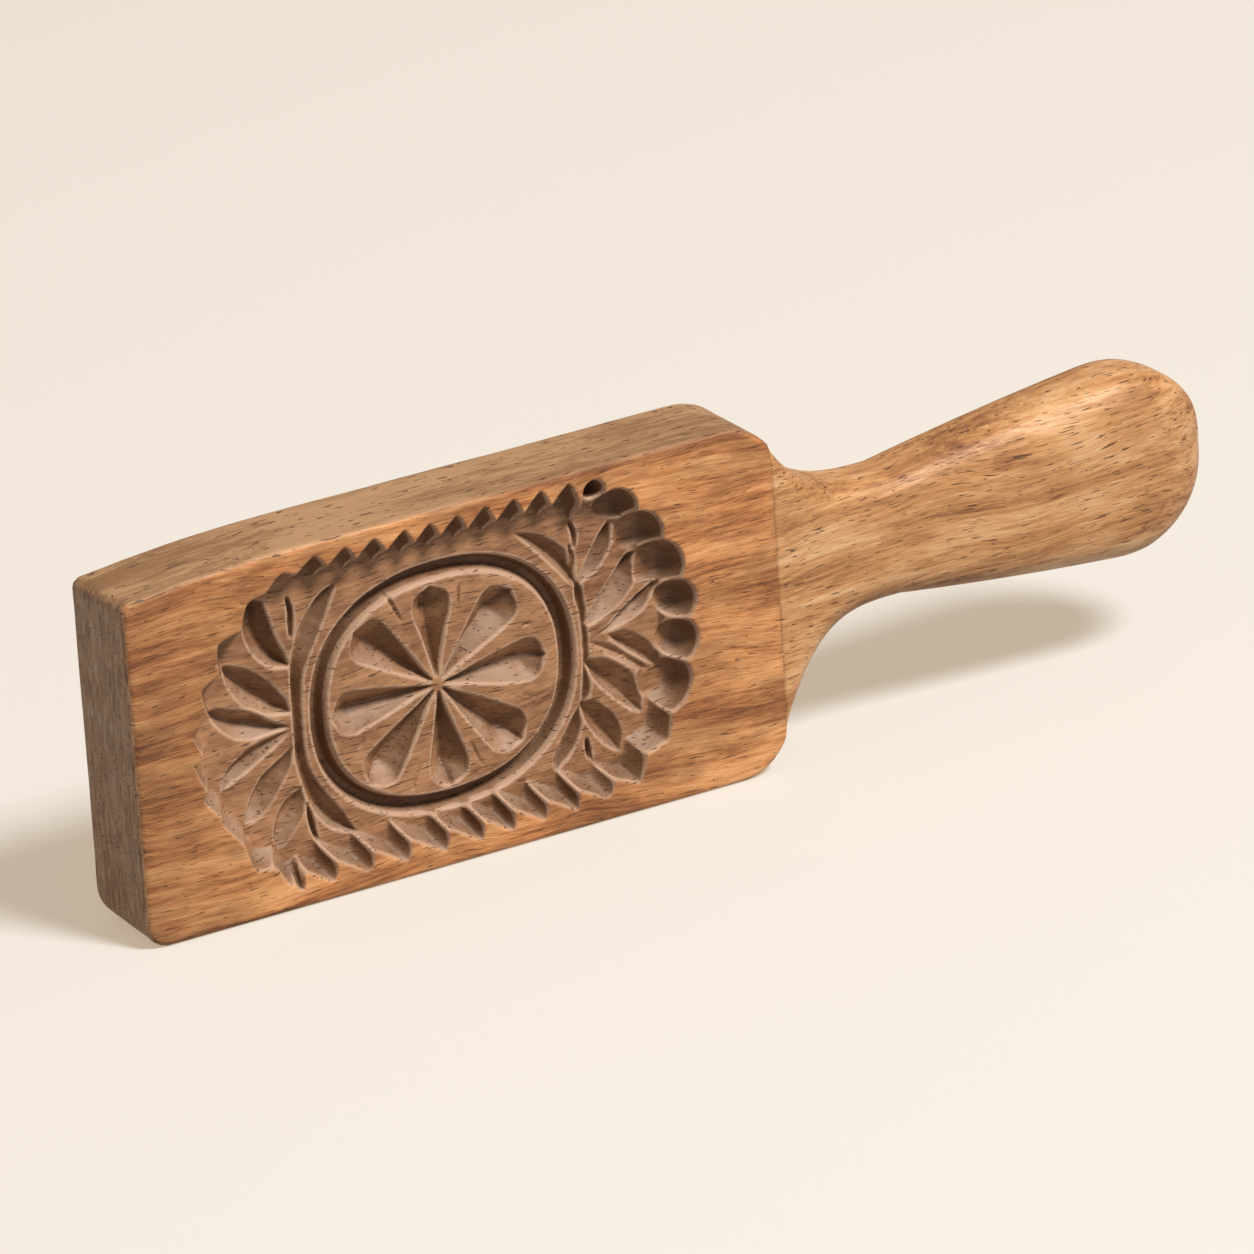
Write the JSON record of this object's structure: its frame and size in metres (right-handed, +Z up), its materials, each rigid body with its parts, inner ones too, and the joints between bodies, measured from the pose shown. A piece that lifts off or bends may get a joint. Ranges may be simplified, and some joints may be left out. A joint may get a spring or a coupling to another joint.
{
  "type": "thekua mould",
  "caption": "Hand-carved wooden sweet mould: an oblong block with a sunk flower, leaf fans and a notched border, and a joined paddle handle.",
  "frame": {"origin": "middle of the length and of the thickness, on the surface that the mould's long edge stands on", "axes": "+X along the mould from its free end to the handle, +Y from the carved face to the back, +Z up across the block as it stands on its long edge"},
  "size_m": [0.2504, 0.0216, 0.074],
  "materials": {
    "block_wood": "oiled hardwood, worn",
    "handle_wood": "oiled hardwood, polished by the hand"
  },
  "bodies": {
    "root": {"block": "block_wood", "handle": "handle_wood"}
  },
  "joints": []
}
